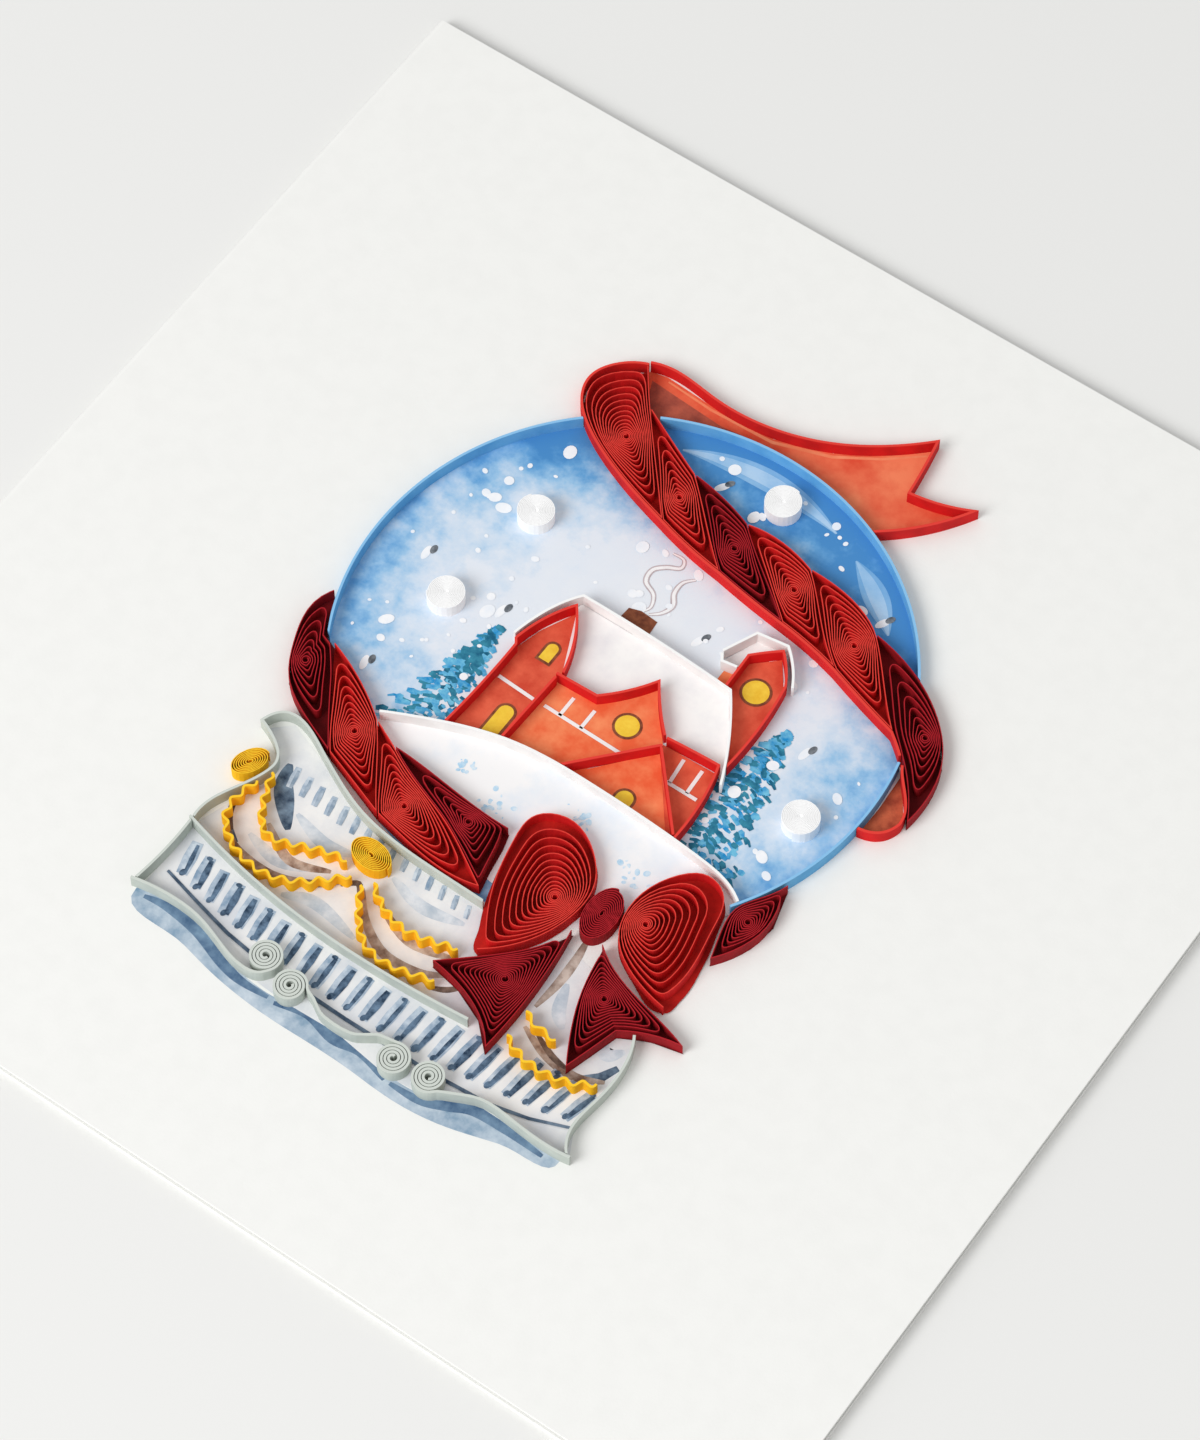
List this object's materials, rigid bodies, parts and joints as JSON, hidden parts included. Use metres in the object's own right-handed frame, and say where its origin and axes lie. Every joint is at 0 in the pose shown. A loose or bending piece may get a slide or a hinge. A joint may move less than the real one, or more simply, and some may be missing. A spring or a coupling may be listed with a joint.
{
  "type": "quilled paper greeting card",
  "caption": "Square folded greeting card lying flat, with a snow globe built up in standing paper strips and rolled paper coils on its front leaf.",
  "frame": {"origin": "on the underside of the back leaf, under the middle of the card", "axes": "+Z out of the card's front, +Y up the picture, +X to the picture's right, away from the fold"},
  "size_m": [0.1524, 0.1524, 0.0038],
  "materials": {
    "card": "matt white card",
    "red_paper": "matt bright red quilling paper",
    "dark_red_paper": "matt dark red quilling paper",
    "blue_paper": "matt light blue paper strip",
    "white_paper": "matt white paper strip",
    "grey_paper": "matt light grey paper strip",
    "gold_paper": "matt golden yellow paper strip"
  },
  "bodies": {
    "root": {"folded_card": "card", "ribbon_coil_1": "red_paper", "ribbon_coil_2": "red_paper", "ribbon_coil_4": "red_paper", "ribbon_coil_5": "red_paper", "wrap_coil_2": "red_paper", "wrap_coil_3": "red_paper", "bow_loop_left": "red_paper", "bow_loop_right": "red_paper", "ribbon_edge_strip": "red_paper", "ribbon_curl_strip": "red_paper", "tail_outline_strip": "red_paper", "tower_side_strip": "red_paper", "tower_strip": "red_paper", "facade_strip": "red_paper", "annex_strip": "red_paper", "porch_gable_strip": "red_paper", "turret_strip": "red_paper", "ribbon_coil_3": "dark_red_paper", "ribbon_coil_6": "dark_red_paper", "wrap_coil_1": "dark_red_paper", "wrap_coil_4": "dark_red_paper", "bow_knot": "dark_red_paper", "bow_tail_left": "dark_red_paper", "bow_tail_right": "dark_red_paper", "ribbon_end_coil": "dark_red_paper", "rim_strip_left": "blue_paper", "rim_strip_top": "blue_paper", "rim_strip_right": "blue_paper", "snow_line_strip": "white_paper", "roof_strip": "white_paper", "turret_roof_strip": "white_paper", "turret_eave_strip": "white_paper", "snowball_1": "white_paper", "snowball_2": "white_paper", "snowball_3": "white_paper", "snowball_4": "white_paper", "base_crown_strip": "grey_paper", "base_left_strip": "grey_paper", "base_belt_strip": "grey_paper", "base_right_strip": "grey_paper", "base_scroll_left": "grey_paper", "base_scroll_middle": "grey_paper", "base_scroll_right": "grey_paper", "gold_coil_left": "gold_paper", "gold_coil_middle": "gold_paper", "garland_strip_1": "gold_paper", "garland_strip_2": "gold_paper", "garland_strip_3": "gold_paper", "garland_strip_4": "gold_paper", "garland_strip_5": "gold_paper", "garland_strip_6": "gold_paper"}
  },
  "joints": []
}
